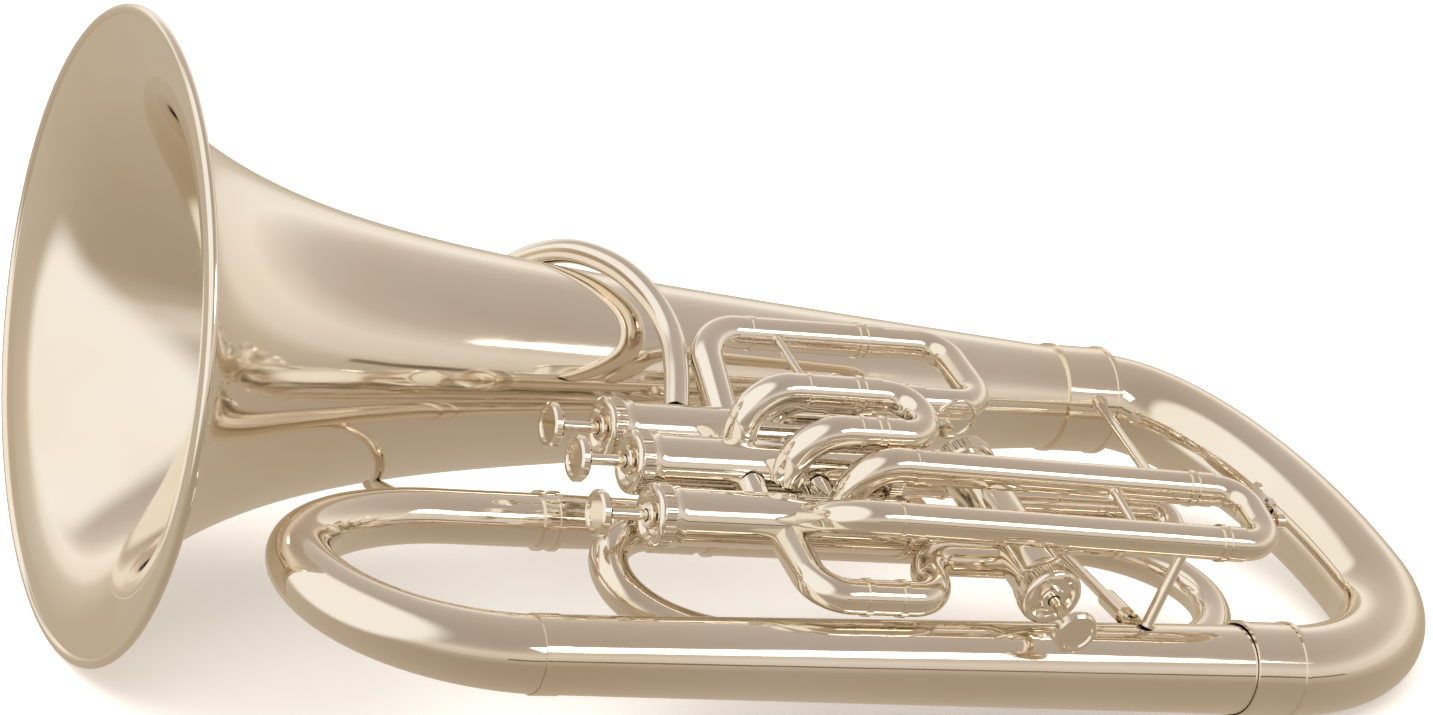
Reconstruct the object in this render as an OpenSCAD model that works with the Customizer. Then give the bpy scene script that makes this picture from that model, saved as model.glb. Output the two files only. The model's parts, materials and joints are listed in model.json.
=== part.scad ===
/* [Bell] */
// Diameter across the bell's rolled rim
bell_d = 305; // [300:1:308]
// Length of the bell from its mouth to the ferrule at its throat
bell_len = 536; // [530:1:540]
// Outer radius of the bell at its throat
throat_r = 24.2; // [23.6:0.1:24.6]
// Thickness of the sheet that the bell and the bows are made of
sheet = 0.9; // [0.7:0.1:1]

/* [Branches] */
// Distance from the bell's axis to the outer branch's axis
branch_gap = 227; // [226:0.5:228]
// Outer radius of the outer branch where it meets the bottom bow
branch_r_low = 21.4; // [21:0.1:21.6]
// Outer radius of the outer branch where it meets the top bow
branch_r_high = 17.4; // [17:0.1:17.6]
// Outer radius of the inner leg, between the small lower bow and the top bow
leg_r = 12.6; // [12.2:0.1:12.8]

/* [Valves] */
// Distance from one top valve to the next
valve_pitch = 34; // [34:0.1:34.4]
// How far the second valve stands forward of the other two
valve_offset = 5.5; // [5:0.1:6]
// Outer radius of a valve casing
casing_r = 13; // [12.8:0.1:13.1]
// Length of a valve casing without its caps
casing_len = 128; // [126:1:130]
// Length of the fourth valve's shorter casing
side_len = 100; // [99:1:101]
// Radius of a piston
piston_r = 11; // [10.9:0.05:11.1]
// How far a button goes down
travel = 17; // [15:0.5:17.5]

/* [Slides] */
// Outer radius of the fixed slide tubes
slide_r = 8; // [7.9:0.05:8.1]
// Outer radius of the sliding legs and their crooks
crook_r = 7.5; // [7.45:0.05:7.55]
// Outer radius of the main tuning slide's crook
tuning_r = 9; // [8.8:0.1:9]

/* [Resting pose] */
// How far the bell's mouth is tipped up when the horn lies on its back
pitch = 8.725; // [8.7:0.025:8.75]
// How far the horn rolls towards its outer branch when it lies down
roll = 11; // [10.9:0.1:11.1]

/* [Hidden] */
$fn = 48;
silver = [0.83, 0.79, 0.73];
felt_black = [0.1, 0.1, 0.1];
steel = [0.6, 0.6, 0.62];
cork = [0.72, 0.54, 0.36];
wall = 0.75;          // wall of the small tubes
fit = 0.05;           // radial clearance of every slide and piston

// The horn is drawn along its bell: x runs from the bell's mouth to the bottom bow,
// y is negative towards the outer branch and z points to the valves' side.
// lay() then puts it on its back, with the rim and the bottom bow on the ground.
sit = [-303.36, 52.29, 151.11];  // brings the middle of the lying horn's underside to the origin
module lay() translate(sit) rotate([roll, pitch, 0]) children();

// ---- Tubes ----
function unit(v) = v / norm(v);
function along(p) = [for (i = [0:len(p) - 1])
    i == 0 ? unit(p[1] - p[0]) : i == len(p) - 1 ? unit(p[i] - p[i - 1])
        : unit(unit(p[i + 1] - p[i]) + unit(p[i] - p[i - 1]))];
function square_to(v, t) = unit(v - (v * t) * t);

// A hollow tube swept along a path, with its own radius at every point
module sweep(p, r, wall, sides, t = undef, up = [0, 0, 1]) {
    dirs = is_undef(t) ? along(p) : t;
    n = len(p);
    side = [for (i = 0, v = square_to(up, dirs[0]); i < n;
        i = i + 1, v = i < n ? square_to(v, dirs[i]) : v) v];
    function ring(i, k) = [for (a = [0:sides - 1])
        p[i] + (r[i] - k) * (side[i] * cos(a * 360 / sides)
            + cross(dirs[i], side[i]) * sin(a * 360 / sides))];
    points = [for (i = [0:n - 1]) each ring(i, 0), for (i = [0:n - 1]) each ring(i, wall)];
    inner = n * sides;
    function at(i, a) = i * sides + a % sides;
    polyhedron(points, [
        for (i = [0:n - 2], a = [0:sides - 1]) each [
            [at(i, a), at(i + 1, a + 1), at(i, a + 1)],
            [at(i, a), at(i + 1, a), at(i + 1, a + 1)],
            [inner + at(i, a), inner + at(i, a + 1), inner + at(i + 1, a + 1)],
            [inner + at(i, a), inner + at(i + 1, a + 1), inner + at(i + 1, a)]],
        for (a = [0:sides - 1]) each [
            [at(0, a), at(0, a + 1), inner + at(0, a + 1), inner + at(0, a)],
            [at(n - 1, a), inner + at(n - 1, a), inner + at(n - 1, a + 1), at(n - 1, a + 1)]]],
        convexity = 10);
}
// A solid wire along a path
module wire(p, r, sides) {
    dirs = along(p);
    n = len(p);
    side = [for (d = dirs) square_to([0, 0, 1], d)];
    function at(i, a) = i * sides + a % sides;
    polyhedron([for (i = [0:n - 1], a = [0:sides - 1])
        p[i] + r * (side[i] * cos(a * 360 / sides) + cross(dirs[i], side[i]) * sin(a * 360 / sides))], [
        [for (a = [0:sides - 1]) a],
        for (i = [0:n - 2], a = [0:sides - 1]) each [
            [at(i, a), at(i + 1, a), at(i + 1, a + 1)],
            [at(i, a), at(i + 1, a + 1), at(i, a + 1)]],
        [for (a = [sides - 1:-1:0]) at(n - 1, a)]], convexity = 10);
}
module even_sweep(p, r, wall, sides = 20) sweep(p, [for (q = p) r], wall, sides);

// A straight round bar or tube from one point to another
module bar(a, b, r, r2 = undef) {
    k = unit(b - a);
    h = abs(k.z) < 0.9 ? [0, 0, 1] : [1, 0, 0];
    i = unit(cross(h, k));
    j = cross(k, i);
    multmatrix([[i.x, j.x, k.x, a.x], [i.y, j.y, k.y, a.y], [i.z, j.z, k.z, a.z], [0, 0, 0, 1]])
        cylinder(h = norm(b - a), r1 = r, r2 = is_undef(r2) ? r : r2);
}
module tube(a, b, r, bore) {
    k = unit(b - a);
    difference() {
        bar(a, b, r);
        bar(a - k, b + k, bore);
    }
}
// A planar run whose straights lie along the axes and whose corners are right angles
module run(p, bend, r) {
    n = len(p);
    for (i = [0:n - 2]) {
        u = unit(p[i + 1] - p[i]);
        bar(i == 0 ? p[0] : p[i] + u * bend, i == n - 2 ? p[n - 1] : p[i + 1] - u * bend, r);
    }
    for (i = [1:1:n - 2]) {
        u = unit(p[i] - p[i - 1]);
        v = unit(p[i + 1] - p[i]);
        z = cross(-v, u);
        c = p[i] - u * bend + v * bend;
        multmatrix([[-v.x, u.x, z.x, c.x], [-v.y, u.y, z.y, c.y], [-v.z, u.z, z.z, c.z], [0, 0, 0, 1]])
            rotate_extrude(angle = 90, $fn = 96) translate([bend, 0]) circle(r);
    }
}
function longer(p, e) = let (n = len(p)) [
    p[0] - unit(p[1] - p[0]) * e,
    for (i = [1:1:n - 2]) p[i],
    p[n - 1] + unit(p[n - 1] - p[n - 2]) * e];
module pipe(p, bend, r, thick = wall) difference() {
    run(p, bend, r);
    run(longer(p, 1), bend, r - thick);
}
// A collar round a tube that runs along x
module collar(x, y, z, r, bore, h = 3) tube([x, y, z], [x + h, y, z], r, bore);

// ---- Bell ----
bell_taper = 0.0704;
flare_r = 62;
flare_rate = 0.0145;
lip_r = bell_d / 2 - 0.6 - throat_r - bell_taper * bell_len - flare_r;
lip_rate = 0.2;
bead_r = 2.4;
wire_r = 1.6;
function bell_r(x) = throat_r - sheet / 2 + bell_taper * (bell_len - x)
    + flare_r * exp(-flare_rate * x) + lip_r * exp(-lip_rate * x);
function bell_slope(x) = (bell_r(x + 0.05) - bell_r(x - 0.05)) / 0.1;
function bell_edge(x, t) = let (m = bell_slope(x), k = sqrt(1 + m * m))
    [bell_r(x) + t / k, x - t * m / k];
bell_steps = [for (i = [0:36]) bell_len * pow(i / 36, 2.2)];
flare_step = 13;                // where the flare is seamed to the bell's body
body_step = 25;                 // where the body is seamed to the tail
module about_x() rotate([0, 90, 0]) rotate_extrude($fn = 180) children();
bead = [bell_d / 2 - bead_r, bead_r];

// The bell's sheet between two of its steps
module bell_sheet(a, b) about_x() polygon([
    for (i = [a:b]) bell_edge(bell_steps[i], sheet / 2),
    for (i = [b:-1:a]) bell_edge(bell_steps[i], -sheet / 2)]);

module bell_flare() color(silver) lay() union() {
    bell_sheet(0, flare_step);
    difference() {
        about_x() translate(bead) circle(bead_r, $fn = 32);
        about_x() translate(bead) circle(wire_r + fit, $fn = 32);
    }
}
module bell_body() color(silver) lay() bell_sheet(flare_step, body_step);
module bell_tail() color(silver) lay() bell_sheet(body_step, 36);
module rim_wire() color(steel) lay() about_x() translate(bead) circle(wire_r, $fn = 32);

// ---- Bows and branches ----
bell_end = [bell_len, 0, 0];
branch_low = [532, -branch_gap, 0];
branch_high = [145, -branch_gap - 4.5, 0];
leg_high = [141, -110, -15];
leg_tail = 50;                  // straight end of the top bow on the inner leg's side
leg_joint = leg_high + [leg_tail, 0, 0];
leg_low = [468, -110, -15];
tube_b = [468, -198, -14];      // where the small bow meets the tuning slide's lower tube
small_r = 9.4;                  // outer radius of the small bow

// A bow in one plane: two quarter ellipses that meet at its tip
function bow_point(a, tip, b, q) = let (e = q <= 90 ? a : b,
    y = e.y + (tip.y - e.y) * (1 - abs(cos(q))))
    [e.x + (tip.x - e.x) * sin(q), y, a.z + (b.z - a.z) * (y - a.y) / (b.y - a.y)];
function bow_dir(a, tip, b, q) = let (e = q <= 90 ? a : b, s = q <= 90 ? 1 : -1,
    dy = s * (tip.y - e.y) * sin(q))
    unit([(tip.x - e.x) * cos(q), dy, dy * (b.z - a.z) / (b.y - a.y)]);
module bow(a, tip, b, r_a, r_b, thick, sides, n, tail = 0) {
    q = [for (i = [0:n]) 180 * i / n];
    end = unit(a - [tip.x, a.y, a.z]) * tail;
    more = tail > 0 ? [1] : [];
    sweep([for (v = q) bow_point(a, tip, b, v), for (m = more) b + end],
        [for (v = q) r_a + (r_b - r_a) * v / 180, for (m = more) r_b], thick, sides,
        [for (v = q) bow_dir(a, tip, b, v), for (m = more) unit(end)],
        [0, -(b.z - a.z) / (b.y - a.y), 1]);
}
// A hollow straight cone from one point to another
module cone(a, b, r_a, r_b, thick) {
    k = (b - a) / norm(b - a);
    grow = (r_b - r_a) / norm(b - a);
    difference() {
        bar(a, b, r_a, r_b);
        bar(a - k, b + k, r_a - thick - grow, r_b - thick + grow);
    }
}
// A ferrule: a sleeve with a raised bead at each end and a bore that follows its tube's taper
module ferrule(a, b, r, bore, bore_b = undef) {
    k = unit(b - a);
    difference() {
        union() {
            bar(a, b, r);
            bar(a, a + k * 2.4, r + 0.7);
            bar(b - k * 2.4, b, r + 0.7);
        }
        bar(a - k, b + k, bore, bore_b);
    }
}
module throat_ferrule() color(silver) lay()
    ferrule([bell_len - 30, 0, 0], [bell_len + 1, 0, 0], throat_r + 3, throat_r + 2.1, throat_r - 0.1);
module bottom_bow() color(silver) lay()
    bow(bell_end, [619, -158], branch_low, throat_r, branch_r_low, sheet, 32, 28);
module bow_ferrule() color(silver) lay()
    ferrule([504, -branch_gap, 0], [533, -branch_gap, 0], branch_r_low + 1.2, branch_r_low + 0.4);
module outer_branch() color(silver) lay()
    cone(branch_high, branch_low, branch_r_high, branch_r_low, sheet);
module top_bow() color(silver) lay()
    bow(branch_high, [57, -162], leg_high, branch_r_high, leg_r, sheet, 28, 24, leg_tail);
module top_bow_ferrules() color(silver) lay() {
    tube([140, -branch_gap - 4.5, 0], [152, -branch_gap - 4.4, 0], branch_r_high + 0.5, branch_r_high - 0.05);
    ferrule(leg_joint - [4, 0, 0], leg_joint + [6, 0, 0], leg_r + 0.8, leg_r - 0.05);
}
module inner_leg() color(silver) lay() cone(leg_joint, leg_low, leg_r, small_r, wall);
module small_bow() color(silver) lay() {
    bow(leg_low, [532, -154], tube_b, small_r, small_r, wall, 24, 18);
}

// ---- Main tuning slide ----
tuning_tube_r = tuning_r + 0.9;
tube_a = [250, -151.5, 11];       // mouth of the tuning slide's upper tube
mouth_b = 286;                  // x of the mouth of its lower tube
crook_a = [224, tube_a.y, tube_a.z];
crook_b = [264, tube_b.y, tube_b.z];
crook_tip = [199, -167];

module tuning_tubes() color(silver) lay() {
    difference() {
        pipe([tube_a, [fourth.x, tube_a.y, tube_a.z], [fourth.x, tube_a.y, fourth.z]], 12,
            tuning_tube_r, tuning_tube_r - tuning_r - fit);
        core(3);
    }
    tube([mouth_b, tube_b.y, tube_b.z], tube_b, tuning_tube_r, tuning_r + fit);
    for (p = [tube_a, [mouth_b, tube_b.y, tube_b.z], [tube_b.x - 4, tube_b.y, tube_b.z]])
        collar(p.x, p.y, p.z, tuning_tube_r + 0.8, tuning_tube_r - 0.1);
}
module tuning_crook() color(silver) lay()
    bow(crook_a, crook_tip, crook_b, tuning_r, tuning_r, 0.8, 20, 16);
module tuning_legs() color(silver) lay() for (p = [[crook_a, 330, tube_a.x], [crook_b, 360, mouth_b]]) {
    tube(p[0], [p[1], p[0].y, p[0].z], tuning_r, tuning_r - 0.8);
    collar(p[0].x - 2, p[0].y, p[0].z, tuning_tube_r, tuning_r - 0.1, p[2] - p[0].x - 4);
}

// ---- Valves ----
valve_x = 209;                  // top faces of the three top caps
valve_y = [for (i = [0:2]) -101 - valve_pitch * i];
valve_z = [32, 32 + valve_offset, 32];
fourth = [391, -226, 36];       // top face of the fourth valve's cap
casing_top = 5;
piston_top = 8;
casing_lens = [casing_len, casing_len, casing_len, side_len];
piston_lens = [casing_len - 36, casing_len - 36, casing_len - 36, side_len - 28];
ports = [[58, 92], [58, 92], [58, 92], [52, 71]];
port_ways = [[[90, 0, 0]], [[90, 0, 0], [-90, 0, 0]], [[-90, 0, 0]], [[0, 90, 0]]];
port_r = 6.4;
cap_r = casing_r + 1.7;
stem_r = 2.6;
button_top = -27;

// Puts a valve drawn along +z from its cap's top face into its place
module place(i) {
    if (i < 3) translate([valve_x, valve_y[i], valve_z[i]]) rotate([0, 90, 0]) children();
    else translate(fourth) rotate([-90, 0, 0]) children();
}
module valve(i) lay() place(i) children();
// What a tube that meets a casing is cut back by
module core(i) place(i) translate([0, 0, 2]) cylinder(h = casing_lens[i], r = casing_r - 0.5);
module casing(i) color(silver) valve(i) difference() {
    translate([0, 0, casing_top]) cylinder(h = casing_lens[i], r = casing_r);
    translate([0, 0, casing_top - 1]) cylinder(h = casing_lens[i] + 2, r = piston_r + fit);
    for (z = ports[i], way = port_ways[i]) translate([0, 0, z]) rotate(way) cylinder(h = 20, r = port_r);
}
module casing_1() casing(0);
module casing_2() casing(1);
module casing_3() casing(2);
module casing_4() casing(3);

module top_cap() difference() {
    rotate_extrude($fn = 96) polygon([
        [stem_r + 0.5, -1.5], [5.6, -1.5], [6.2, -0.8], [6.2, 1.8], [9.6, 2.2], [11.2, 0], [13, -0.6],
        [cap_r - 0.6, 0], [cap_r, 1], [cap_r, 8], [cap_r - 0.6, 9], [cap_r - 0.6, 13],
        [casing_r + 0.05, 13], [casing_r + 0.05, 4.9], [stem_r + 0.5, 4.9]]);
    for (a = [0:10:350]) rotate([0, 0, a]) translate([cap_r + 0.1, 0, 2]) cylinder(h = 5, r = 0.5, $fn = 16);
}
module bottom_cap(i) translate([0, 0, casing_top + casing_lens[i]]) difference() {
    rotate_extrude($fn = 96) polygon([
        [0, 3.4], [0, 8], [4, 8], [5, 6.8], [10, 6.4], [12.6, 5.2], [cap_r, 3.4], [cap_r, -5],
        [cap_r - 0.6, -6], [casing_r + 0.05, -6], [casing_r + 0.05, 0.1],
        [casing_r - 2, 0.1], [casing_r - 2, 3.4]]);
    for (a = [0:10:350]) rotate([0, 0, a]) translate([cap_r + 0.1, 0, -4]) cylinder(h = 6, r = 0.5, $fn = 16);
}
module top_caps() color(silver) for (i = [0:3]) valve(i) top_cap();
module bottom_caps() color(silver) for (i = [0:3]) valve(i) bottom_cap(i);
module cap_felts() color(felt_black) for (i = [0:3]) valve(i) translate([0, 0, 4.95]) difference() {
    cylinder(h = 2, r = 8);
    translate([0, 0, -1]) cylinder(h = 4, r = stem_r + 0.6);
}
module piston(i) color(silver) valve(i) difference() {
    translate([0, 0, piston_top]) cylinder(h = piston_lens[i], r = piston_r);
    translate([0, 0, piston_top + 3]) cylinder(h = piston_lens[i], r = piston_r - 1.6);
    translate([0, 0, piston_top - 1]) cylinder(h = 5, r = stem_r - 0.5);
    for (z = ports[i]) translate([0, 0, z - travel]) rotate(port_ways[i][0])
        cylinder(h = 40, r = port_r, center = true);
}
module piston_1() piston(0);
module piston_2() piston(1);
module piston_3() piston(2);
module piston_4() piston(3);

module button(i) color(silver) valve(i) difference() {
    union() {
        translate([0, 0, button_top + 3]) cylinder(h = piston_top - button_top - 3, r = stem_r);
        rotate_extrude($fn = 96) polygon([
            [0, button_top + 1], [7.4, button_top + 1], [8, button_top], [9.6, button_top],
            [10.6, button_top + 1], [10.6, button_top + 3.6], [9.4, button_top + 5],
            [5, button_top + 5.6], [5, button_top + 7], [0, button_top + 7]]);
    }
    translate([0, 0, piston_top - 8]) cylinder(h = 9, r = stem_r - 1.2);
}
module button_1() button(0);
module button_2() button(1);
module button_3() button(2);
module button_4() button(3);

spring_turns = 6;
spring_r = 8;
spring_wire = 0.7;
module spring(i) color(steel) valve(i) {
    n = spring_turns * 12;
    low = piston_top + piston_lens[i] + 0.8;
    high = casing_top + casing_lens[i] + 2.5;
    p = [for (k = [0:n]) [spring_r * cos(k * 30), spring_r * sin(k * 30),
        low + (high - low) * k / n]];
    wire(p, spring_wire, 6);
}
module spring_1() spring(0);
module spring_2() spring(1);
module spring_3() spring(2);
module spring_4() spring(3);

// Short tubes between neighbouring casings, and the tube down to the outer side
module knuckles() color(silver) lay() difference() {
    for (i = [0, 1], x = [267, 301])
        tube([x, valve_y[i], valve_z[i]], [x, valve_y[i + 1], valve_z[i + 1]], 7.2, port_r);
    for (i = [0:2]) core(i);
}
link_y = -222;
link_end = -190;
module link_loop() color(silver) lay() {
    difference() {
        pipe([[275, valve_y[2], 30], [275, link_y, 30], [338, link_y, 30], [338, link_end, 30],
            [fourth.x, link_end, 30]], 15.9, slide_r);
        core(2);
        core(3);
    }
    for (x = [296, 314]) collar(x, link_y, 30, slide_r + 0.7, slide_r - 0.1);
}

// ---- Valve slides ----
bore_wall = slide_r - crook_r - fit;
// A slide: [x of its tubes' start, x of their mouths, reach in from the valve, legs' places]
legs = [
    [[273, -96, 36, -45, 54], [292, -98, 36, -98, 55]],
    [[268, -122, 40, -119, 71], [284, -147, 40, -148.7, 68.8]],
    [[306, -165, 34, -166, 64.8], [284, -174, 36, -206, 62]],
    [[396, -155, 40, -155, 40], [396, -174, 34, -174, 34]]];
roots = [320, 305, 334, 424];     // where the sliding legs end, inside the tubes
mouths = [360, 322, 480, 452];
tips = [390, 335, 492, 474];

// One fixed tube: it leaves the valve towards its leg, turns and runs along x
module slide_tube(leg, mouth, bend) {
    gap = norm([leg[3] - leg[1], leg[4] - leg[2]]);
    if (gap < 1) tube([leg[0], leg[3], leg[4]], [mouth, leg[3], leg[4]], slide_r, crook_r + fit);
    else translate([0, leg[1], leg[2]]) rotate([atan2(leg[4] - leg[2], leg[3] - leg[1]), 0, 0])
        pipe([[leg[0], 0, 0], [leg[0], gap, 0], [mouth, gap, 0]], min(bend, gap - 1), slide_r, bore_wall);
}
// The third slide's legs spread a little towards the outer branch
splay = 2.2;
splay_about = [300, -184, 62];
module spread(i) translate(splay_about) rotate([0, 0, i == 2 ? -splay : 0]) translate(-splay_about)
    children();
module slide_tubes(i) color(silver) lay() {
    difference() {
        spread(i) for (leg = legs[i]) slide_tube(leg, mouths[i], 20);
        core(i);
    }
    spread(i) for (leg = legs[i]) {
        collar(mouths[i] - 3, leg[3], leg[4], slide_r + 0.8, slide_r - 0.1);
        collar(leg[0] + 26, leg[3], leg[4], slide_r + 0.5, slide_r - 0.1, 2);
    }
}
module slide_tubes_1() slide_tubes(0);
module slide_tubes_2() slide_tubes(1);
module slide_tubes_3() slide_tubes(2);
module slide_tubes_4() slide_tubes(3);

module slide_crook(i) color(silver) lay() spread(i) {
    a = legs[i][0];
    b = legs[i][1];
    gap = norm([b[3] - a[3], b[4] - a[4]]);
    root = roots[i];
    translate([0, a[3], a[4]]) rotate([atan2(a[4] - b[4], a[3] - b[3]), 0, 0]) {
        pipe([[root, 0, 0], [tips[i] + min(gap / 2, 15), 0, 0],
            [tips[i] + min(gap / 2, 15), -gap, 0], [root, -gap, 0]], min(gap / 2, 15) - 0.01,
            crook_r, 0.5);
        for (y = [0, -gap]) collar(mouths[i] + 1.5, y, 0, slide_r + 0.2, crook_r - 0.1, 9);
    }
}
module slide_crook_1() slide_crook(0);
module slide_crook_2() slide_crook(1);
module slide_crook_3() slide_crook(2);
module slide_crook_4() slide_crook(3);
module pull_ring() color(silver) lay() translate([tips[1] + 32, -135, 71]) {
    rotate([90, 0, 0]) rotate_extrude($fn = 64) translate([10, 0]) circle(1.1, $fn = 20);
    translate([-9.5, -7, 0]) rotate([90, 0, 0]) cylinder(h = 3, r = 4);
}

// ---- Compensating loops ----
comp_r = 5.6;
comp_fit_r = 5.2;
comp_legs = [[-91, -105, 420], [-121, -135, 350]];
comp_z = 12;
comp_x = 300;
comp_gap = 14;
module comp_tubes() color(silver) lay() for (i = [0, 1]) {
    mouth = comp_legs[i][2] - 24;
    difference() {
        for (y = [comp_legs[i][0], comp_legs[i][1]])
            pipe([[comp_x, y, valve_z[i] - 4], [comp_x, y, comp_z], [mouth, y, comp_z]],
                7, comp_r, comp_r - comp_fit_r - fit);
        core(i);
    }
    for (y = [comp_legs[i][0], comp_legs[i][1]])
        collar(mouth - 2, y, comp_z, comp_r + 0.6, comp_r - 0.1, 2);
}
module comp_crook(i) color(silver) lay() {
    c = comp_legs[i];
    pipe([[c[2] - 40, c[0], comp_z], [c[2], c[0], comp_z], [c[2], c[1], comp_z],
        [c[2] - 40, c[1], comp_z]], comp_gap / 2 - 0.01, comp_fit_r, 0.5);
}
module comp_crook_1() comp_crook(0);
module comp_crook_2() comp_crook(1);

// ---- Leadpipe ----
lead_r = 6;
lead_route = [[251, -88.6, 36.4], [257, -66, 44], [261, -42, 49], [258, -18, 53], [248, 4, 55], [235, 26, 49],
    [224, 43, 35], [214, 54, 16], [206, 59, -6], [201, 62, -30], [199, 63, -59]];
function spline(p, i, u) = let (n = len(p) - 1, a = p[max(i - 1, 0)], b = p[i], c = p[i + 1],
    d = p[min(i + 2, n)])
    0.5 * (2 * b + (c - a) * u + (2 * a - 5 * b + 4 * c - d) * u * u
        + (3 * b - a - 3 * c + d) * u * u * u);
module leadpipe() color(silver) lay()
    even_sweep([for (i = [0:len(lead_route) - 2], u = [0, 1 / 3, 2 / 3]) spline(lead_route, i, u),
        lead_route[len(lead_route) - 1]], lead_r, wall, 16);
receiver_top = [199, 63, -58];
receiver_len = 42;
receiver_bore = 6.3;
receiver_depth = 34;
module receiver() color(silver) lay() translate(receiver_top) rotate([180, 0, 0]) difference() {
    rotate_extrude($fn = 96) polygon([[lead_r + 0.05, -6], [7, -6], [8.4, 0], [8.4, receiver_len - 5],
        [9.2, receiver_len - 4], [9.2, receiver_len], [0, receiver_len], [0, 1.5], [lead_r + 0.05, 1.5]]);
    translate([0, 0, receiver_len - receiver_depth]) cylinder(h = receiver_depth + 1, r = receiver_bore);
    translate([0, 0, -1]) cylinder(h = receiver_len, r = lead_r - wall);
}

// ---- Braces ----
// The space that the third slide's sliding legs need
module third_bores() spread(2) for (leg = legs[2])
    bar([roots[2], leg[3], leg[4]], [mouths[2] + 1, leg[3], leg[4]], crook_r + fit);
// A round stay with a flange at each end, soldered to the tubes it joins
module stay(a, b, r = 2.6, flange = 1.8) {
    k = unit(b - a);
    bar(a, b, r);
    bar(a, a + k * 1.6, r + flange);
    bar(b - k * 1.6, b, r + flange);
}
module braces() color(silver) lay() {
    stay([137, -36, -48.5], [141, -99.3, -21]);
    stay([312, -52.4, 56], [312, -90.4, 56], 2, 1.2);
    stay([340, -118.6, -9.6], [340, -143.4, 5.9], 2.2, 1.2);
    bar([210, 49.3, 7.1], [210, 51, 7.3], 4);
    difference() {
        union() {
            stay([523, -23.6, 13], [466, -164.8, 61.6]);
            stay([436, -178.5, 64.3], [436, -203.5, 62.4], 2.2, 1.2);
        }
        third_bores();
    }
}
branch_foot = [448, -214.4, 15.2];
leg_foot = [462, -118.3, -10.9];
module branch_stays() color(silver) lay() {
    difference() {
        stay([450, -222, 19.4], [462, -210, 54.6], 2.8);
        third_bores();
    }
    stay(branch_foot, leg_foot, 2.8);
    bar(branch_foot + (leg_foot - branch_foot) * 0.09, branch_foot + (leg_foot - branch_foot) * 0.32, 4.6);
}

// ---- Water keys ----
// A key: a nipple and a saddle, a lever on a pin, and a cork pad
// The main key stands on the tuning slide's lower tube, turned away from the outer branch
key_turn = -123;
module on_main() lay() translate([440, tube_b.y, tube_b.z]) rotate([key_turn, 0, 0])
    translate([0, 0, tuning_tube_r]) rotate([0, 0, 90]) children();
third_tip = tips[2] + 15;
module on_third() lay() spread(2) translate([third_tip, -184, 62]) translate([crook_r, 0, 0])
    rotate([0, 90, 0]) children();
module key_seat() {
    difference() {
        translate([0, 0, -1]) cylinder(h = 4, r = 3);
        translate([0, 0, -2]) cylinder(h = 6, r = 1.6);
    }
    translate([-2, 8, -1]) difference() {
        cube([4, 6, 7]);
        translate([-1, 3, 5]) rotate([0, 90, 0]) cylinder(h = 6, r = 1);
    }
}
module key_pin() translate([-4.5, 11, 4]) rotate([0, 90, 0]) cylinder(h = 9, r = 0.95);
module key_lever() {
    translate([0, 0, 4.5]) difference() {
        cylinder(h = 4, r = 4);
        translate([0, 0, -1]) cylinder(h = 3.2, r = 3.2);
    }
    translate([-1.5, 3.4, 7]) cube([3, 22, 1.5]);
    for (x = [-3.9, 2.3]) difference() {
        translate([x, 8.6, 2]) cube([1.6, 5, 6.5]);
        translate([x - 1, 11, 4]) rotate([0, 90, 0]) cylinder(h = 4, r = 1);
    }
    translate([-3.9, 9, 7]) cube([7.8, 4, 1.5]);
    translate([0, 26, 7]) cylinder(h = 1.5, r = 3.6);
}
module key_cork() translate([0, 0, 3.05]) cylinder(h = 3.6, r = 3.15);
module key_seat_main() color(silver) on_main() key_seat();
module key_lever_main() color(silver) on_main() key_lever();
module key_pin_main() color(steel) on_main() key_pin();
module key_cork_main() color(cork) on_main() key_cork();
module key_seat_third() color(silver) on_third() key_seat();
module key_lever_third() color(silver) on_third() key_lever();
module key_pin_third() color(steel) on_third() key_pin();
module key_cork_third() color(cork) on_third() key_cork();

bell_flare();
bell_body();
bell_tail();
rim_wire();
throat_ferrule();
bottom_bow();
bow_ferrule();
outer_branch();
top_bow();
top_bow_ferrules();
inner_leg();
small_bow();
tuning_tubes();
tuning_crook();
tuning_legs();
casing_1();
casing_2();
casing_3();
casing_4();
top_caps();
bottom_caps();
cap_felts();
piston_1();
piston_2();
piston_3();
piston_4();
button_1();
button_2();
button_3();
button_4();
spring_1();
spring_2();
spring_3();
spring_4();
knuckles();
link_loop();
slide_tubes_1();
slide_tubes_2();
slide_tubes_3();
slide_tubes_4();
slide_crook_1();
slide_crook_2();
slide_crook_3();
slide_crook_4();
pull_ring();
comp_tubes();
comp_crook_1();
comp_crook_2();
leadpipe();
receiver();
braces();
branch_stays();
key_seat_main();
key_lever_main();
key_pin_main();
key_cork_main();
key_seat_third();
key_lever_third();
key_pin_third();
key_cork_third();
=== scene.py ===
"""A silver-plated tenor tuba with four valves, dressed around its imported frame."""
import json
import math

import bmesh
import bpy
from mathutils import Matrix, Vector


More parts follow.
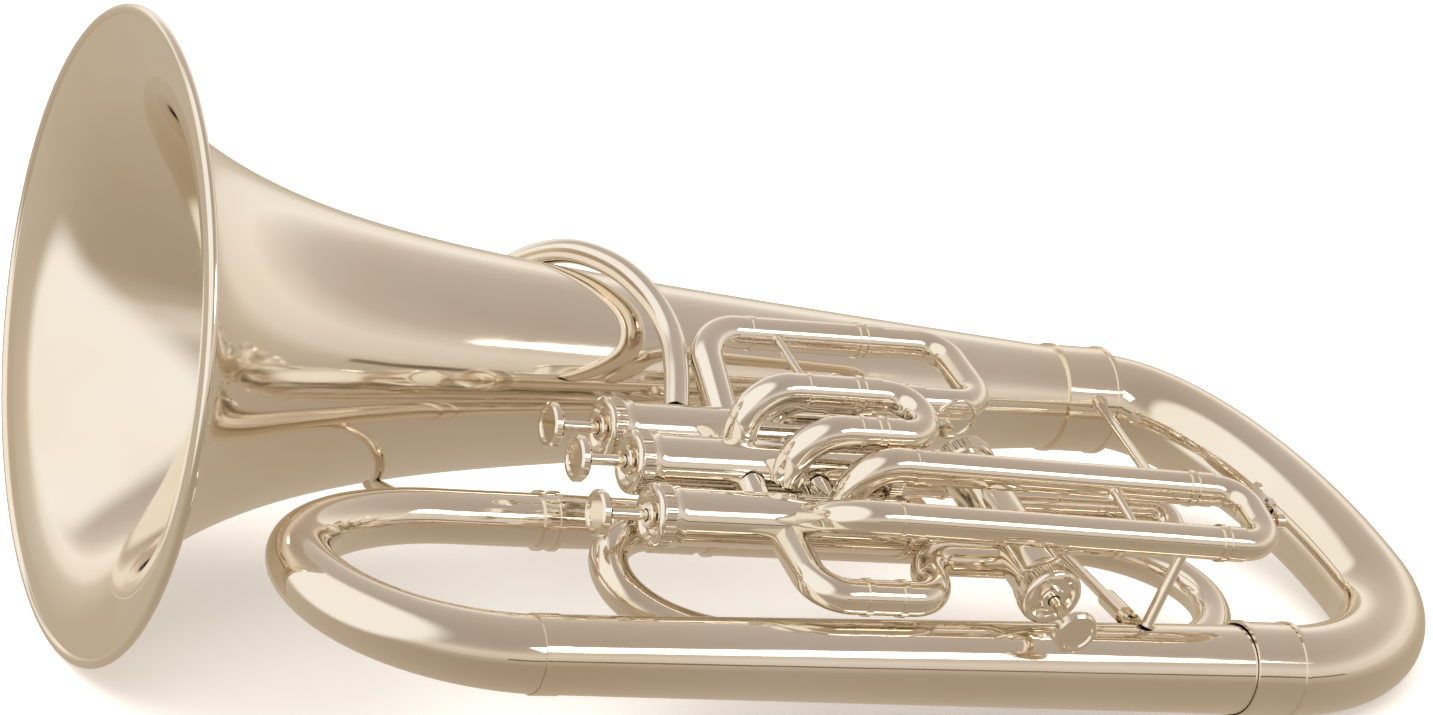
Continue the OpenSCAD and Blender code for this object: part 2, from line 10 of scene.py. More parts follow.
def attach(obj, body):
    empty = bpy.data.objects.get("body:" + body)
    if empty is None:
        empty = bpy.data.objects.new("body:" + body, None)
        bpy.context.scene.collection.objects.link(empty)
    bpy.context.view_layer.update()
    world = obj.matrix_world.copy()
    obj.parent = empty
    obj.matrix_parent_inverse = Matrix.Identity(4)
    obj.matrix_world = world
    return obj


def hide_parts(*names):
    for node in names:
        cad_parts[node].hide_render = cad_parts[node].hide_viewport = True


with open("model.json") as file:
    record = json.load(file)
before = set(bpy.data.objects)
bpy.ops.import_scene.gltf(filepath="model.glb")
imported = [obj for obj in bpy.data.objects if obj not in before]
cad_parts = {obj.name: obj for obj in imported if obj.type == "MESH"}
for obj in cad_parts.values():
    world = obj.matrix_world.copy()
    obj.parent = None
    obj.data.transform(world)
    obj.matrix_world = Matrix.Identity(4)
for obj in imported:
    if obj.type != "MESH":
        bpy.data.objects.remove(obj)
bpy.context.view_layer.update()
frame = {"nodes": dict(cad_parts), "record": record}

bl_info = {
    "name": "Silver-plated tenor tuba",
    "version": (1, 0, 0),
    "blender": (4, 5, 0),
    "location": "3D View > Sidebar > Tuba",
    "description": "Builds the bell, tubes, valves, slides and stage of a tenor tuba",
    "category": "Object",
}

MM = 0.001
ROOT = "horn"
SMOOTH_UNDER = math.radians(32)   # edges sharper than this stay crisp
MERGE = 2e-6                      # metres between corners that are one corner
BOW_STEPS = 96
TUBE_SIDES = 64


# ---- The horn's own frame ----
# x runs from the bell's mouth to the bottom bow, y is negative towards the outer branch,
# and z points to the valves' side. All places below are in millimetres in that frame.
JOINTS = {joint["name"]: joint for joint in frame["record"]["behaviour"]["joints"]}
RECEIVER = Vector((199, 63, -83))  # middle of the mouthpiece receiver's bore


def horn_matrix():
    """The matrix from the horn's frame in millimetres to the record's frame in metres."""
    x = Vector(JOINTS["slide_1_pull"]["axis"])
    y = Vector(JOINTS["valve_4_slide"]["axis"])
    turn = Matrix((x, y, x.cross(y))).transposed()
    mount = Vector(frame["record"]["mounts"][0]["pos_m"])
    origin = mount - turn @ (RECEIVER * MM)
    return Matrix.Translation(origin) @ turn.to_4x4() @ Matrix.Scale(MM, 4)


HORN = horn_matrix()


# ---- Sizes and colours ----
class HornSizes(bpy.types.PropertyGroup):
    """The sizes of the bell and its bows, in millimetres"""
    bell_diameter: bpy.props.FloatProperty(name="Bell", description="Diameter of the rolled rim", default=305)
    bell_length: bpy.props.FloatProperty(name="Length", description="Bell, from mouth to throat", default=536)
    throat: bpy.props.FloatProperty(name="Throat", description="Outer radius at the throat", default=24.2)
    sheet: bpy.props.FloatProperty(name="Sheet", description="Thickness of the bell's sheet", default=0.9)
    branch_low: bpy.props.FloatProperty(
        name="Branch, low", description="Outer radius at its foot", default=21.4)
    branch_high: bpy.props.FloatProperty(
        name="Branch, high", description="Outer radius at its top", default=17.4)
    leg: bpy.props.FloatProperty(name="Inner leg", description="Outer radius at its top", default=12.6)
    small_bow: bpy.props.FloatProperty(name="Small bow", description="Outer radius", default=9.4)
    crook: bpy.props.FloatProperty(name="Tuning crook", description="Outer radius", default=9.0)
    leadpipe: bpy.props.FloatProperty(name="Leadpipe", description="Outer radius", default=6.0)


class ValveSizes(bpy.types.PropertyGroup):
    """The sizes of the valves' trim, in millimetres"""
    cap: bpy.props.FloatProperty(name="Cap", description="Outer radius of a cap's knurl", default=14.7)
    ridges: bpy.props.IntProperty(name="Ridges", description="Ridges round a knurl", default=72)
    spring: bpy.props.FloatProperty(name="Spring", description="Radius of a valve spring", default=8.0)
    wire: bpy.props.FloatProperty(name="Wire", description="Radius of the spring's wire", default=0.7)
    turns: bpy.props.FloatProperty(name="Turns", description="Turns of a valve spring", default=6.0)


def colour_property(name, description, default):
    """A property that holds an sRGB hex colour."""
    return bpy.props.StringProperty(name=name, description=description, default=default)


class Finishes(bpy.types.PropertyGroup):
    """The colours of the metals, felt and cork, as sRGB hex values"""
    silver: colour_property("Silver", "Polished silver plate", "#F6F0E6")
    silver_warm: colour_property("Warm silver", "Silver plate where it has begun to yellow", "#F1E6D3")
    nickel: colour_property("Nickel", "Lapped nickel plate of the pistons", "#B9B8B2")
    steel: colour_property("Steel", "Spring wire and hinge pins", "#8C8C8E")
    felt: colour_property("Felt", "Black felt washers", "#1B1A19")
    cork: colour_property("Cork", "Cork pads", "#A67C52")
    floor: colour_property("Floor", "Matte studio floor", "#F7F5F3")


# ---- Materials ----
def linear(hex_colour):
    """An sRGB hex colour as linear RGBA."""
    parts = [int(hex_colour[i:i + 2], 16) / 255 for i in (1, 3, 5)]
    return [p / 12.92 if p <= 0.04045 else ((p + 0.055) / 1.055) ** 2.4 for p in parts] + [1.0]


def add(tree, kind, links=None, values=None, **settings):
    """Adds one node with its settings, values and links."""
    node = tree.nodes.new(kind)
    for key, value in settings.items():
        setattr(node, key, value)
    for key, value in (values or {}).items():
        node.inputs[key].default_value = value
    for key, socket in (links or {}).items():
        tree.links.new(socket, node.inputs[key])
    return node


def new_material(name, values):
    """A material with its shader's own sockets set."""
    material = bpy.data.materials.new(name)
    material.use_nodes = True
    shader = material.node_tree.nodes["Principled BSDF"]
    for key, value in values.items():
        shader.inputs[key].default_value = value
    return material, material.node_tree, shader


def silver_plate(colours):
    """Polished silver plate: a warm mirror with a faint haze where hands and cloth have been."""
    material, tree, shader = new_material("silver_plate", {"Metallic": 1.0})
    place = add(tree, "ShaderNodeTexCoord").outputs["Object"]
    tone = add(tree, "ShaderNodeTexNoise", {"Vector": place}, {"Scale": 9.0, "Detail": 3.0})
    ramp = add(tree, "ShaderNodeValToRGB", {"Fac": tone.outputs["Fac"]})
    ramp.color_ramp.elements[0].position = 0.35
    ramp.color_ramp.elements[0].color = linear(colours.silver)
    ramp.color_ramp.elements[1].position = 0.8
    ramp.color_ramp.elements[1].color = linear(colours.silver_warm)
    tree.links.new(ramp.outputs["Color"], shader.inputs["Base Color"])
    haze = add(tree, "ShaderNodeTexNoise", {"Vector": place}, {"Scale": 40.0, "Detail": 5.0})
    gloss = add(tree, "ShaderNodeMapRange", {"Value": haze.outputs["Fac"]},
                {"From Min": 0.3, "From Max": 0.8, "To Min": 0.045, "To Max": 0.11})
    tree.links.new(gloss.outputs["Result"], shader.inputs["Roughness"])
    # hand-buffed sheet is never quite even: swells about 40 mm long and a few hundredths deep
    swell = add(tree, "ShaderNodeTexNoise", {"Vector": place}, {"Scale": 26.0, "Detail": 1.0})
    bump = add(tree, "ShaderNodeBump", {"Height": swell.outputs["Fac"]},
               {"Strength": 0.12, "Distance": 0.0012})
    tree.links.new(bump.outputs["Normal"], shader.inputs["Normal"])
    return material


def nickel_plate(colours):
    """Lapped nickel: an even satin, without the fine rings that lapping leaves round the piston."""
    return new_material("lapped_nickel", {"Base Color": linear(colours.nickel), "Metallic": 1.0,
                                          "Roughness": 0.24})[0]


def drawn_steel(colours):
    """Drawn spring wire: darker and duller than the plate."""
    return new_material("drawn_steel", {"Base Color": linear(colours.steel), "Metallic": 1.0,
                                        "Roughness": 0.33})[0]


def pressed_felt(colours):
    """Pressed wool felt: black, with fibres about 0.3 mm apart that catch a little light."""
    material, tree, shader = new_material("pressed_felt", {
        "Base Color": linear(colours.felt), "Roughness": 0.95, "Sheen Weight": 0.4})
    place = add(tree, "ShaderNodeTexCoord").outputs["Object"]
    fibres = add(tree, "ShaderNodeTexNoise", {"Vector": place}, {"Scale": 3000.0})
    bump = add(tree, "ShaderNodeBump", {"Height": fibres.outputs["Fac"]},
               {"Strength": 0.5, "Distance": 0.0003})
    tree.links.new(bump.outputs["Normal"], shader.inputs["Normal"])
    return material


def cut_cork(colours):
    """Cut cork: light brown with darker grains about 1 mm across."""
    material, tree, shader = new_material("cut_cork", {"Roughness": 0.85})
    place = add(tree, "ShaderNodeTexCoord").outputs["Object"]
    grains = add(tree, "ShaderNodeTexVoronoi", {"Vector": place}, {"Scale": 900.0})
    ramp = add(tree, "ShaderNodeValToRGB", {"Fac": grains.outputs["Distance"]})
    ramp.color_ramp.elements[0].color = linear("#6B4A2C")
    ramp.color_ramp.elements[1].color = linear(colours.cork)
    tree.links.new(ramp.outputs["Color"], shader.inputs["Base Color"])
    return material


MAKERS = {"silver_plate": silver_plate, "piston_nickel": nickel_plate, "steel": drawn_steel,
          "felt": pressed_felt, "cork": cut_cork}
FINISH = {}


def finish_for(slot):
    """The one material of a record slot."""
    if slot not in FINISH:
        FINISH[slot] = MAKERS[slot](bpy.context.scene.tuba_finishes)
    return FINISH[slot]


# ---- Meshes ----
SLOTS = {part["node"]: part["material_slot"] for part in frame["record"]["subparts"]}
BODY_OF = {node: body for body, nodes in frame["record"]["behaviour"]["bodies"].items()
           for node in nodes}


def shaded(mesh):
    """Smooth shading with crisp edges."""
    mesh.shade_smooth()
    mesh.set_sharp_from_angle(angle=SMOOTH_UNDER)


def settle(name, mesh, body, slot, nodes=()):
    """Puts a finished mesh in the scene, on its body and in its record slot."""
    piece = bpy.data.objects.new(name, mesh)
    bpy.context.scene.collection.objects.link(piece)
    mesh.materials.clear()
    mesh.materials.append(finish_for(slot))
    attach(piece, body)
    if nodes:
        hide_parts(*nodes)
    return piece


def polished(node):
    """A smooth copy of a frame node, which it stands for."""
    source = frame["nodes"][node].data
    mesh = bpy.data.meshes.new(node)
    mesh.from_pydata([v.co for v in source.vertices], [], [list(f.vertices) for f in source.polygons])
    work = bmesh.new()
    work.from_mesh(mesh)
    bmesh.ops.remove_doubles(work, verts=work.verts, dist=MERGE)
    work.to_mesh(mesh)
    work.free()
    shaded(mesh)
    return settle(node + "_finish", mesh, BODY_OF[node], SLOTS[node], [node])


def plain_mesh(source):
    """The evaluated mesh of an object, which is then removed."""
    view = bpy.context.evaluated_depsgraph_get()
    mesh = bpy.data.meshes.new_from_object(source.evaluated_get(view), depsgraph=view)
    bpy.data.objects.remove(source)
    return mesh


def grown(name, mesh, tree, values):
    """Runs a geometry tree on a mesh and returns the plain result."""
    source = bpy.data.objects.new(name, mesh)
    bpy.context.scene.collection.objects.link(source)
    modifier = source.modifiers.new("grow", "NODES")
    modifier.node_group = tree
    for item in tree.interface.items_tree:
        if item.in_out == "INPUT" and item.name in values:
            modifier[item.identifier] = values[item.name]
    return plain_mesh(source)


def new_tree(name, inputs):
    """A geometry tree with named inputs."""
    tree = bpy.data.node_groups.new(name, "GeometryNodeTree")
    tree.interface.new_socket(name="Geometry", in_out="INPUT", socket_type="NodeSocketGeometry")
    for label, kind in inputs.items():
        tree.interface.new_socket(name=label, in_out="INPUT", socket_type=kind)
    tree.interface.new_socket(name="Geometry", in_out="OUTPUT", socket_type="NodeSocketGeometry")
    return tree, add(tree, "NodeGroupInput").outputs


def close_tree(tree, geometry, material):
    """Ends a tree in real geometry with its material."""
    real = add(tree, "GeometryNodeRealizeInstances", {"Geometry": geometry})
    made = add(tree, "GeometryNodeSetMaterial", {"Geometry": real.outputs[0], "Material": material})
    add(tree, "NodeGroupOutput", {"Geometry": made.outputs[0]})


TREES = {}


def tube_tree():
    """A closed round tube along a path whose corners hold its radius."""
    if "tube" in TREES:
        return TREES["tube"]
    tree, given = new_tree("tube along a path", {"Sides": "NodeSocketInt", "Material": "NodeSocketMaterial"})
    line = add(tree, "GeometryNodeMeshToCurve", {"Mesh": given["Geometry"]})
    radius = add(tree, "GeometryNodeInputNamedAttribute", values={"Name": "tube_r"}, data_type="FLOAT")
    ring = add(tree, "GeometryNodeCurvePrimitiveCircle", {"Resolution": given["Sides"]}, {"Radius": 1.0})
    skin = add(tree, "GeometryNodeCurveToMesh",
               {"Curve": line.outputs[0], "Profile Curve": ring.outputs[0],
                "Scale": radius.outputs["Attribute"]}, {"Fill Caps": True})
    close_tree(tree, skin.outputs[0], given["Material"])
    TREES["tube"] = tree
    return tree


def knurl_tree():
    """Small ridges that stand round a ring."""
    if "knurl" in TREES:
        return TREES["knurl"]
    tree, given = new_tree("ridges round a ring", {
        "Count": "NodeSocketInt", "Radius": "NodeSocketFloat", "Height": "NodeSocketFloat",
        "Width": "NodeSocketFloat", "Material": "NodeSocketMaterial"})
    ring = add(tree, "GeometryNodeMeshCircle", {"Vertices": given["Count"], "Radius": given["Radius"]})
    ridge = add(tree, "GeometryNodeMeshCylinder", {"Radius": given["Width"], "Depth": given["Height"]},
                {"Vertices": 8})
    repeated = add(tree, "GeometryNodeInstanceOnPoints", {"Points": ring.outputs[0],
                                                          "Instance": ridge.outputs[0]})
    close_tree(tree, repeated.outputs[0], given["Material"])
    TREES["knurl"] = tree
    return tree


def coil_tree():
    """A coil spring of round wire."""
    if "coil" in TREES:
        return TREES["coil"]
    tree, given = new_tree("coil spring", {
        "Turns": "NodeSocketFloat", "Radius": "NodeSocketFloat", "Height": "NodeSocketFloat",
        "Wire": "NodeSocketFloat", "Material": "NodeSocketMaterial"})
    coil = add(tree, "GeometryNodeCurveSpiral",
               {"Rotations": given["Turns"], "Start Radius": given["Radius"],
                "End Radius": given["Radius"], "Height": given["Height"]}, {"Resolution": 32})
    ring = add(tree, "GeometryNodeCurvePrimitiveCircle", {"Radius": given["Wire"]}, {"Resolution": 12})
    skin = add(tree, "GeometryNodeCurveToMesh",
               {"Curve": coil.outputs[0], "Profile Curve": ring.outputs[0]}, {"Fill Caps": True})
    close_tree(tree, skin.outputs[0], given["Material"])
    TREES["coil"] = tree
    return tree


def tube(node, path, radii):
    """A smooth tube along a path in the horn's frame, which stands for a frame node."""
    line = bpy.data.meshes.new(node)
    line.from_pydata([HORN @ Vector(p) for p in path], [(i, i + 1) for i in range(len(path) - 1)], [])
    size = line.attributes.new("tube_r", "FLOAT", "POINT")
    size.data.foreach_set("value", [r * MM for r in radii])
    mesh = grown(node, line, tube_tree(), {"Sides": TUBE_SIDES, "Material": finish_for(SLOTS[node])})
    shaded(mesh)
    return settle(node + "_finish", mesh, BODY_OF[node], SLOTS[node], [node])


def turned(outline, place, sides):
    """A closed outline of (along, radius) turned round an axis."""
    verts = []
    for step in range(sides):
        a = 2 * math.pi * step / sides
        verts += [place @ Vector((r * math.cos(a), r * math.sin(a), z)) for z, r in outline]
    n = len(outline)
    faces = []
    for step in range(sides):
        here = step * n
        there = (step + 1) % sides * n
        faces += [(here + k, there + k, there + (k + 1) % n, here + (k + 1) % n) for k in range(n)]
    mesh = bpy.data.meshes.new("turned")
    mesh.from_pydata(verts, [], faces)
    work = bmesh.new()
    work.from_mesh(mesh)
    bmesh.ops.recalc_face_normals(work, faces=work.faces)
    work.to_mesh(mesh)
    work.free()
    shaded(mesh)
    return mesh


# ---- Bell ----
def bell_radius(sizes, x):
    """Radius of the middle of the bell's sheet, by distance from its mouth."""
    taper, flare, flare_rate, lip_rate, rim_gap = 0.0704, 62.0, 0.0145, 0.2, 0.6
    lip = sizes.bell_diameter / 2 - rim_gap - sizes.throat - taper * sizes.bell_length - flare
    return (sizes.throat - sizes.sheet / 2 + taper * (sizes.bell_length - x)
            + flare * math.exp(-flare_rate * x) + lip * math.exp(-lip_rate * x))


ALONG_X = Matrix(((0, 0, 1, 0), (0, 1, 0, 0), (-1, 0, 0, 0), (0, 0, 0, 1)))


def arc(centre, radius, start, end, steps):
    """Points of an arc in a plane."""
    return [(centre[0] + radius * math.cos(start + (end - start) * i / steps),
             centre[1] + radius * math.sin(start + (end - start) * i / steps)) for i in range(steps + 1)]


class TUBA_OT_bell(bpy.types.Operator):
    """Build the bell with its rolled rim, and the ferrule at its throat"""
    bl_idname = "tuba.bell"
    bl_label = "Bell"

    def execute(self, context):
        sizes = context.scene.tuba_sizes
        steps, sides = 140, 288
        bead = 2.4                      # radius of the rolled rim
        half = sizes.sheet / 2
        xs = [2 + (sizes.bell_length - 2) * (i / steps) ** 2.1 for i in range(steps + 1)]
        outside = [(x, bell_radius(sizes, x) + half) for x in xs]
        inside = [(x, bell_radius(sizes, x) - half) for x in reversed(xs)]
        roll = arc((bead, sizes.bell_diameter / 2 - bead), bead, math.radians(250), math.radians(-40), 20)
        outline = roll + outside[2:] + inside[:-3]
        mesh = turned(outline, HORN @ ALONG_X, sides)
        settle("bell_finish", mesh, ROOT, "silver_plate",
               [node for node in frame["nodes"] if node.startswith("bell")])
        polished("throat_ferrule")
        return {"FINISHED"}


# ---- Bows and branches ----
def bow_path(a, tip, b, tail=0):
    """Two quarter ellipses that meet at the tip of a bow."""
    path = []
    for i in range(BOW_STEPS + 1):
        q = math.pi * i / BOW_STEPS
        end = a if 2 * i <= BOW_STEPS else b
        y = end[1] + (tip[1] - end[1]) * (1 - abs(math.cos(q)))
        z = a[2] + (b[2] - a[2]) * (y - a[1]) / (b[1] - a[1])
        path.append((end[0] + (tip[0] - end[0]) * math.sin(q), y, z))
    return path + ([(b[0] + tail, b[1], b[2])] if tail else [])


def bow_radii(first, last, tail=0):
    """Radii that change evenly from one end of a bow to the other."""
    radii = [first + (last - first) * i / BOW_STEPS for i in range(BOW_STEPS + 1)]
    return radii + ([last] if tail else [])


BELL_END = (536, 0, 0)
BRANCH_LOW = (532, -227, 0)
BRANCH_HIGH = (145, -231.5, 0)
LEG_HIGH = (141, -110, -15)
LEG_LOW = (468, -110, -15)
TUBE_B = (468, -198, -14)
LEG_TAIL = 50                      # straight end of the top bow on the inner leg's side


class TUBA_OT_bows(bpy.types.Operator):
    """Build the bows, the outer branch and the inner leg, with their ferrules"""
    bl_idname = "tuba.bows"
    bl_label = "Bows and branches"

    def execute(self, context):
        s = context.scene.tuba_sizes
        tube("bottom_bow", bow_path(BELL_END, (619, -158), BRANCH_LOW), bow_radii(s.throat, s.branch_low))
        tube("outer_branch", [BRANCH_HIGH, BRANCH_LOW], [s.branch_high, s.branch_low])
        tube("top_bow", bow_path(BRANCH_HIGH, (57, -162), LEG_HIGH, LEG_TAIL),
             bow_radii(s.branch_high, s.leg, LEG_TAIL))
        tube("inner_leg", [(LEG_HIGH[0] + LEG_TAIL, *LEG_HIGH[1:]), LEG_LOW], [s.leg, s.small_bow])
        tube("small_bow", bow_path(LEG_LOW, (532, -154), TUBE_B), bow_radii(s.small_bow, s.small_bow))
        for node in ("bow_ferrule", "top_bow_ferrules", "braces", "branch_stays"):
            polished(node)
        return {"FINISHED"}


# ---- Tuning slide and leadpipe ----
CROOK_A = (224, -151.5, 11)
CROOK_B = (264, -198, -14)
LEAD_ROUTE = [(251, -88.6, 36.4), (257, -66, 44), (261, -42, 49), (258, -18, 53), (248, 4, 55),
              (235, 26, 49), (224, 43, 35), (214, 54, 16), (206, 59, -6), (201, 62, -30), (199, 63, -59)]


def through(points, steps):
    """A smooth curve through all the points."""
    path = []
    last = len(points) - 1
    for i in range(last):
        a, b, c, d = (Vector(points[k]) for k in (max(i - 1, 0), i, i + 1, min(i + 2, last)))
        for k in range(steps):
            u = k / steps
            path.append(0.5 * (2 * b + (c - a) * u + (2 * a - 5 * b + 4 * c - d) * u * u
                               + (3 * b - a - 3 * c + d) * u ** 3))
    return path + [Vector(points[last])]


class TUBA_OT_tuning(bpy.types.Operator):
    """Build the main tuning slide, the leadpipe and the mouthpiece receiver"""
    bl_idname = "tuba.tuning"
    bl_label = "Tuning slide and leadpipe"

    def execute(self, context):
        s = context.scene.tuba_sizes
        tube("tuning_crook", bow_path(CROOK_A, (199, -167), CROOK_B), bow_radii(s.crook, s.crook))
        path = through(LEAD_ROUTE, 8)
        tube("leadpipe", path, [s.leadpipe] * len(path))
        for node in ("tuning_tubes", "tuning_legs", "receiver"):
            polished(node)
        return {"FINISHED"}


# ---- Valves ----
VALVE_PLACES = [(209, -101, 32), (209, -135, 37.5), (209, -169, 32), (391, -226, 36)]
CASING_LENGTHS = [128, 128, 128, 100]
PISTON_ENDS = [100, 100, 100, 80]
SPRING_GAP = 0.8                   # between a piston's end and its spring
CAP_FLOOR = 7.5                    # from a casing's end to the floor of its cap
KNURL_WIDTH = 0.42
ALONG_Y = Matrix(((1, 0, 0, 0), (0, 0, 1, 0), (0, -1, 0, 0), (0, 0, 0, 1)))


def valve_matrix(i):
    """The frame of a valve, along +z from its cap's top face."""
    turn = ALONG_X if i < 3 else ALONG_Y
    return HORN @ Matrix.Translation(VALVE_PLACES[i]) @ turn


class TUBA_OT_valves(bpy.types.Operator):
    """Build the four valves with their caps, buttons, pistons and springs"""
    bl_idname = "tuba.valves"
    bl_label = "Valves"

    def execute(self, context):
        sizes = context.scene.tuba_valves
        silver = finish_for("silver_plate")
        for i in range(4):
            number = str(i + 1)
            place = valve_matrix(i)
            for node in ("casing_", "piston_", "button_"):
                polished(node + number)
            for name, low, high in (("top_knurl_", 2.0, 7.2),
                                    ("bottom_knurl_", CASING_LENGTHS[i] + 1.4, CASING_LENGTHS[i] + 7.4)):
                ridges = grown(name, bpy.data.meshes.new(name), knurl_tree(), {
                    "Count": sizes.ridges, "Radius": sizes.cap, "Height": high - low,
                    "Width": KNURL_WIDTH, "Material": silver})
                ridges.transform(place @ Matrix.Translation((0, 0, (low + high) / 2)))
                shaded(ridges)
                settle(name + number, ridges, ROOT, "silver_plate")
            low = PISTON_ENDS[i] + SPRING_GAP
            height = CASING_LENGTHS[i] + CAP_FLOOR - low
            coil = grown("spring_" + number, bpy.data.meshes.new("coil"), coil_tree(), {
                "Turns": sizes.turns, "Radius": sizes.spring, "Height": height, "Wire": sizes.wire,
                "Material": finish_for("steel")})
            coil.transform(place @ Matrix.Translation((0, 0, low)))
            shaded(coil)
            settle("spring_" + number + "_finish", coil, ROOT, "steel", ["spring_" + number])
        for node in ("top_caps", "bottom_caps", "cap_felts", "rim_wire", "knuckles", "link_loop"):
            polished(node)
        return {"FINISHED"}


# ---- Slides and water keys ----
class TUBA_OT_slides(bpy.types.Operator):
    """Build the valve slides, the compensating loops and the water keys"""
    bl_idname = "tuba.slides"
    bl_label = "Slides and water keys"

    def execute(self, context):
        for i in range(1, 5):
            polished("slide_tubes_%d" % i)
            polished("slide_crook_%d" % i)
        for node in ("pull_ring", "comp_tubes", "comp_crook_1", "comp_crook_2"):
            polished(node)
        for key in ("main", "third"):
            for piece in ("seat", "lever", "pin", "cork"):
                polished("key_%s_%s" % (piece, key))
        return {"FINISHED"}


# ---- Stage ----
CAMERA_AT = Vector((-563.6, -1488.5, 952.6))
CAMERA_RIGHT = Vector((0.893, -0.3402, 0.2946))
CAMERA_UP = Vector((-0.060, 0.5589, 0.8271))
LENS = 100.488
SENSOR = 36


def lamp(name, kind, place, target, power, colour, size):
    """A soft light that faces a point and stays out of the picture."""
    data = bpy.data.lights.new(name, kind)
    data.energy = power
    data.color = linear(colour)[:3]
    if kind == "AREA":
        data.shape = "RECTANGLE"
        data.size, data.size_y = size
    else:
        data.angle = size
    light = bpy.data.objects.new(name, data)
    light.location = place
    light.rotation_euler = (Vector(target) - Vector(place)).to_track_quat("-Z", "Y").to_euler()
    light.visible_camera = False
    bpy.context.scene.collection.objects.link(light)
    return light


def flag(name, corners, colour):
    """A dark card, which only shows as a streak in the polished metal."""
    mesh = bpy.data.meshes.new(name)
    mesh.from_pydata(corners, [], [(0, 1, 2, 3)])
    card = bpy.data.objects.new(name, mesh)
    bpy.context.scene.collection.objects.link(card)
    mesh.materials.append(new_material(name, {"Base Color": linear(colour), "Roughness": 1.0})[0])
    card.visible_camera = card.visible_diffuse = card.visible_shadow = False


def ramp_of(tree, value, bands):
    """A colour ramp over a value, from a list of (place, colour)."""
    ramp = add(tree, "ShaderNodeValToRGB", {"Fac": value})
    points = ramp.color_ramp.elements
    points[0].position, points[0].color = bands[0][0], linear(bands[0][1])
    points[1].position, points[1].color = bands[-1][0], linear(bands[-1][1])
    for place, colour in bands[1:-1]:
        points.new(place).color = linear(colour)
    return ramp.outputs["Color"]


SOFTBOX_WAY = (-0.80, -0.10, 0.59)     # the side that the large soft light is on


def studio_air():
    """Pale studio walls, tan below and greyer overhead, with one large soft light."""
    world = bpy.data.worlds.new("studio")
    bpy.context.scene.world = world
    world.use_nodes = True
    tree = world.node_tree
    way = add(tree, "ShaderNodeTexCoord")
    parts = add(tree, "ShaderNodeSeparateXYZ", {"Vector": way.outputs["Generated"]})
    height = add(tree, "ShaderNodeMapRange", {"Value": parts.outputs["Z"]}, {"From Min": -1.0})
    depth = add(tree, "ShaderNodeMapRange", {"Value": parts.outputs["Y"]}, {"From Min": -1.0})
    walls = ramp_of(tree, height.outputs["Result"], (
        (0.0, "#C0B19E"), (0.4, "#C4B6A3"), (0.5, "#D9CDBD"), (0.55, "#F5ECE1"), (0.64, "#FFF8EF"),
        (0.74, "#D6CBC1"), (0.82, "#C9BDB4"), (1.0, "#BFB3AA")))
    sides = ramp_of(tree, depth.outputs["Result"], ((0.0, "#DDD9D5"), (0.5, "#F3F1EF"), (1.0, "#FFFFFF")))
    both = add(tree, "ShaderNodeMix", {6: walls, 7: sides}, {0: 1.0},
               data_type="RGBA", blend_type="MULTIPLY")
    toward = add(tree, "ShaderNodeVectorMath", {0: way.outputs["Generated"]}, {1: SOFTBOX_WAY},
                 operation="DOT_PRODUCT")
    share = add(tree, "ShaderNodeMapRange", {"Value": toward.outputs["Value"]},
                {"From Min": 0.56, "From Max": 0.74}, interpolation_type="SMOOTHSTEP")
    air = add(tree, "ShaderNodeMix", {0: share.outputs["Result"], 6: both.outputs[2]},
              {7: linear("#FFFBF5")}, data_type="RGBA")
    tree.links.new(air.outputs[2], tree.nodes["Background"].inputs["Color"])


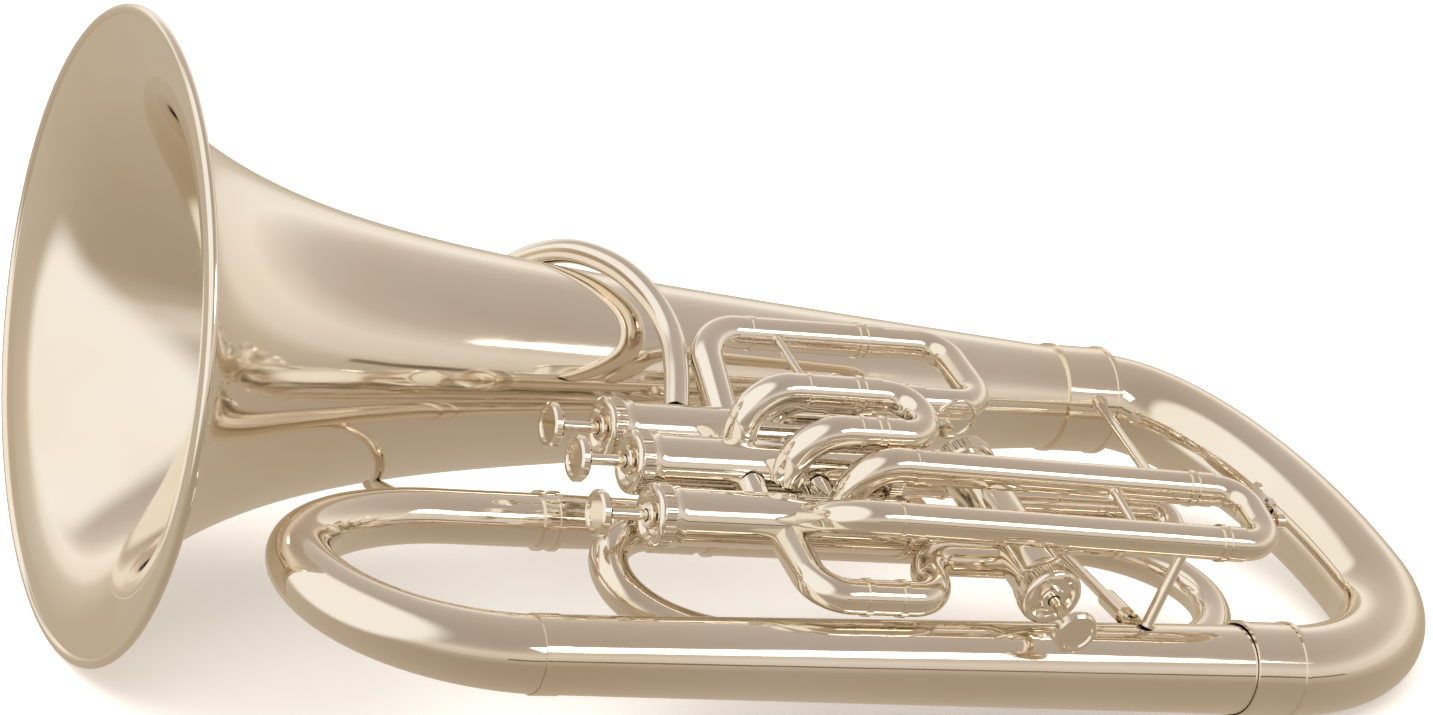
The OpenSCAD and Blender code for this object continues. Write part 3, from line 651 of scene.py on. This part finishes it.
class TUBA_OT_stage(bpy.types.Operator):
    """Set the floor, the lights and the camera"""
    bl_idname = "tuba.stage"
    bl_label = "Stage"

    def execute(self, context):
        colours = context.scene.tuba_finishes
        mesh = bpy.data.meshes.new("floor")
        w = 20.0                        # half the floor's width, in metres
        mesh.from_pydata([(-w, -w, 0), (w, -w, 0), (w, w, 0), (-w, w, 0)], [], [(0, 1, 2, 3)])
        floor = bpy.data.objects.new("floor", mesh)
        context.scene.collection.objects.link(floor)
        mesh.materials.append(new_material("matte_floor", {
            "Base Color": linear(colours.floor), "Roughness": 0.8,
            "Emission Color": linear(colours.floor), "Emission Strength": 0.3})[0])
        studio_air()
        floor.visible_glossy = False
        sky = lamp("sky", "SUN", (-0.6, -0.8, 3.0), (0, 0, 0), 1.9, "#FFFDFB", math.radians(60))
        sky.visible_glossy = False
        key = lamp("key", "AREA", (-2.2, 0.4, 2.4), (0, 0, 0.1), 44, "#FFF6EA", (3.0, 2.2))
        key.visible_glossy = False
        lamp("fill", "AREA", (1.2, -1.8, 1.4), (0, 0, 0.1), 8, "#FFF6EC", (1.2, 0.5))
        flag("front_flag", [(0, -3, 0.16), (4, -3, 0.16), (4, -3, 0.34), (0, -3, 0.34)], "#6B5B49")
        data = bpy.data.cameras.new("camera")
        data.sensor_width = SENSOR
        data.lens = LENS
        data.clip_end = 50
        camera = bpy.data.objects.new("camera", data)
        turn = HORN.to_3x3().normalized()
        right = (turn @ CAMERA_RIGHT).normalized()
        up = turn @ CAMERA_UP
        up = (up - up.dot(right) * right).normalized()
        axes = Matrix((right, up, right.cross(up))).transposed().to_4x4()
        camera.matrix_world = Matrix.Translation(HORN @ CAMERA_AT) @ axes
        context.scene.collection.objects.link(camera)
        context.scene.camera = camera
        context.scene.view_settings.view_transform = "Standard"
        return {"FINISHED"}


# ---- Add-on ----
STEPS = (TUBA_OT_bell, TUBA_OT_bows, TUBA_OT_tuning, TUBA_OT_valves, TUBA_OT_slides, TUBA_OT_stage)


class TUBA_PT_panel(bpy.types.Panel):
    """Lists the pieces that can be built"""
    bl_label = "Tuba"
    bl_idname = "TUBA_PT_panel"
    bl_space_type = "VIEW_3D"
    bl_region_type = "UI"
    bl_category = "Tuba"

    def draw(self, context):
        for step in STEPS:
            self.layout.operator(step.bl_idname)


GROUPS = (HornSizes, ValveSizes, Finishes)
CLASSES = GROUPS + STEPS + (TUBA_PT_panel,)


def register():
    """Registers the classes and their settings."""
    for item in CLASSES:
        bpy.utils.register_class(item)
    bpy.types.Scene.tuba_sizes = bpy.props.PointerProperty(type=HornSizes)
    bpy.types.Scene.tuba_valves = bpy.props.PointerProperty(type=ValveSizes)
    bpy.types.Scene.tuba_finishes = bpy.props.PointerProperty(type=Finishes)


def unregister():
    """Removes the settings and the classes."""
    del bpy.types.Scene.tuba_finishes
    del bpy.types.Scene.tuba_valves
    del bpy.types.Scene.tuba_sizes
    for item in reversed(CLASSES):
        bpy.utils.unregister_class(item)


def main():
    """Builds everything in order."""
    register()
    for step in STEPS:
        group, name = step.bl_idname.split(".")
        getattr(getattr(bpy.ops, group), name)()


if __name__ == "__main__":
    main()
